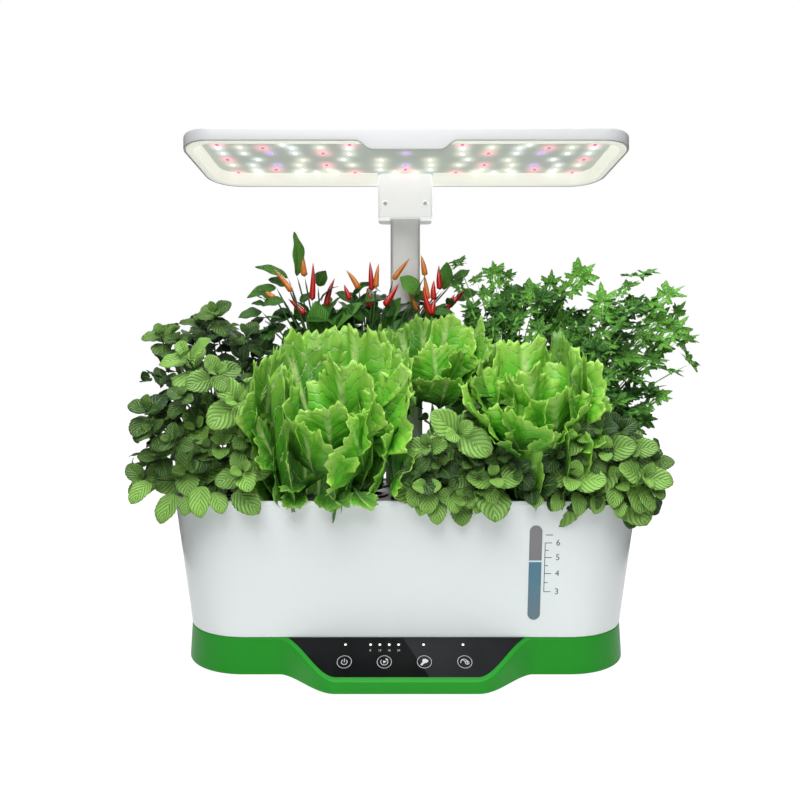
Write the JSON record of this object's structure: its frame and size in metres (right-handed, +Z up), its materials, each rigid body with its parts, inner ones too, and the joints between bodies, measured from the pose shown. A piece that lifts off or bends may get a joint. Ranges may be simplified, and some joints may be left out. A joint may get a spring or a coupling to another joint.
{
  "type": "hydroponic grow system",
  "caption": "Tabletop hydroponic grow system: tapered water tank on a touch-panel base, planted deck of net pots, and a wide lamp on a height-adjustable mast.",
  "frame": {"origin": "centre of the base floor's underside, under the middle of the tank; the feet reach a little below it", "axes": "+Z up, -Y towards the touch panel's front, +X to the right as seen from the front, along the tank's length"},
  "size_m": [0.5784, 0.2795, 0.5246],
  "materials": {
    "white_gloss": "smooth gloss white moulding",
    "green_plastic": "smooth satin green moulding",
    "panel_black": "black gloss touch panel",
    "dark_plastic": "fine matte black moulding",
    "rubber": "matte rubber",
    "clear_plastic": "clear tinted plastic strip",
    "board_green": "circuit board",
    "led_board": "pale coated board with diodes",
    "cream_plastic": "satin reflector",
    "satin_aluminium": "satin anodised tube",
    "steel": "plain steel",
    "sponge": "open grow sponge",
    "mint_leaf": "soft quilted leaf",
    "lettuce_leaf": "crisp ruffled leaf with pale veins",
    "parsley_leaf": "flat cut leaf",
    "pepper_leaf": "smooth pointed leaf with chillies"
  },
  "bodies": {
    "base": {"base_floor": "dark_plastic", "base_housing": "green_plastic", "control_board": "board_green", "control_panel": "panel_black", "foot_1": "rubber", "foot_2": "rubber", "foot_3": "rubber", "foot_4": "rubber", "gauge_seal": "rubber", "gauge_window": "clear_plastic", "lead_grommet": "rubber", "light_guide": "clear_plastic", "power_jack": "dark_plastic", "pump_body": "dark_plastic", "pump_cover": "dark_plastic", "pump_riser": "clear_plastic", "touch_board": "board_green", "water_tank": "white_gloss"},
    "deck": {"grow_deck": "dark_plastic", "grow_sponge_05": "sponge", "lettuce_left": "lettuce_leaf", "lettuce_middle": "lettuce_leaf", "lettuce_right": "lettuce_leaf", "lid_pin": "steel", "mast_collar": "white_gloss", "mast_outer_tube": "satin_aluminium", "mast_socket": "white_gloss", "mint_front_centre": "mint_leaf", "mint_front_left": "mint_leaf", "mint_front_right": "mint_leaf", "mint_rear_left": "mint_leaf", "net_pot_01": "dark_plastic", "net_pot_02": "dark_plastic", "net_pot_03": "dark_plastic", "net_pot_04": "dark_plastic", "net_pot_05": "dark_plastic", "net_pot_06": "dark_plastic", "net_pot_07": "dark_plastic", "net_pot_08": "dark_plastic", "net_pot_09": "dark_plastic", "net_pot_10": "dark_plastic", "net_pot_11": "dark_plastic", "net_pot_12": "dark_plastic", "parsley_rear": "parsley_leaf", "parsley_right": "parsley_leaf", "pepper_left": "pepper_leaf", "pepper_right": "pepper_leaf"},
    "lamp": {"bracket_back": "white_gloss", "bracket_front": "white_gloss", "bracket_screw_left": "steel", "bracket_screw_right": "steel", "lamp_frame": "cream_plastic", "lamp_shell": "white_gloss", "led_board": "led_board", "mast_inner_tube": "satin_aluminium"},
    "lid": {"fill_lid": "dark_plastic"},
    "impeller": {"impeller": "white_gloss"}
  },
  "joints": [
    {"name": "deck_lift", "type": "slide", "parent": "base", "child": "deck", "axis": [0, 0, 1], "range_m": [0, 0.09]},
    {"name": "lamp_height", "type": "slide", "parent": "deck", "child": "lamp", "axis": [0, 0, 1], "range_m": [-0.045, 0.08]},
    {"name": "fill_lid_hinge", "type": "hinge", "parent": "deck", "child": "lid", "pos_m": [0, -0.018, 0.1661], "axis": [-1, 0, 0], "range_deg": [0, 95]},
    {"name": "impeller_spin", "type": "hinge", "parent": "base", "child": "impeller", "pos_m": [0, 0.006, 0.0546], "axis": [1, 0, 0], "continuous": true}
  ]
}
